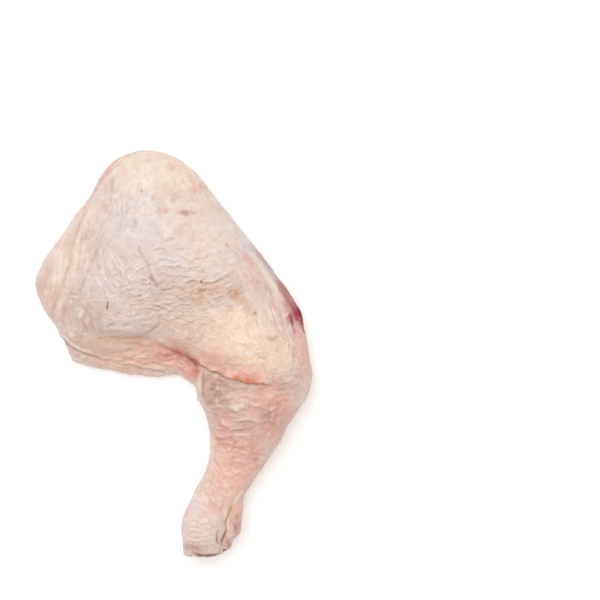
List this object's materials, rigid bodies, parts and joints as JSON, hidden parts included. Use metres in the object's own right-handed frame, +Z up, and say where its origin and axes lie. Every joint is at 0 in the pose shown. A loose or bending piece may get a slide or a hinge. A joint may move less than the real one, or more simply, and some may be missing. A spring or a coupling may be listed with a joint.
{
  "type": "raw chicken leg quarter",
  "caption": "Raw chicken thigh with its drumstick in one piece, skin side up, lying flat with the knee bent; skin folds over the knee and the cut hock end is blunt.",
  "frame": {"origin": "middle of the leg's footprint, on the surface that it lies on", "axes": "+Z up out of the skin side, +Y from the hock end towards the hip end, +X to the right seen from above"},
  "size_m": [0.1676, 0.2442, 0.0369],
  "materials": {
    "raw_chicken_skin": "moist raw poultry skin, cream to pink, softly glossy"
  },
  "bodies": {
    "root": {"chicken_leg": "raw_chicken_skin"}
  },
  "joints": []
}
